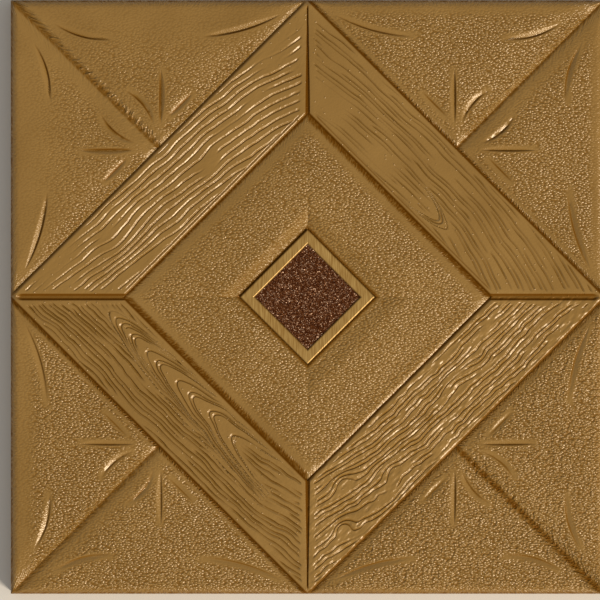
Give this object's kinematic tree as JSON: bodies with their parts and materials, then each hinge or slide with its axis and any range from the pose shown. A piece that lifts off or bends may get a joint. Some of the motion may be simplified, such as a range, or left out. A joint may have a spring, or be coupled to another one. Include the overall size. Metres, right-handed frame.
{
  "type": "padded wall panel tile",
  "caption": "Square padded leather-look wall panel with a raised frame of wood-grained boards, pleated corner cushions and a framed glitter centre.",
  "frame": {"origin": "middle of the flat back face, which lies on the floor or against the wall", "axes": "+Z out of the decorated face, +Y up and +X right as the panel hangs and as the picture shows it"},
  "size_m": [0.4, 0.4, 0.02],
  "materials": {
    "leather_skin": "bronze-gold leather-look skin, semi-gloss, pebbled on the cushions and embossed with wood grain on the boards",
    "gilt_trim": "smooth satin gold film on moulded plastic, with faint hairlines",
    "glitter": "dark brown glitter film with pale pinkish flakes"
  },
  "bodies": {
    "root": {"panel": "leather_skin", "gilt_rim": "gilt_trim", "glitter_plate": "glitter"}
  },
  "joints": []
}
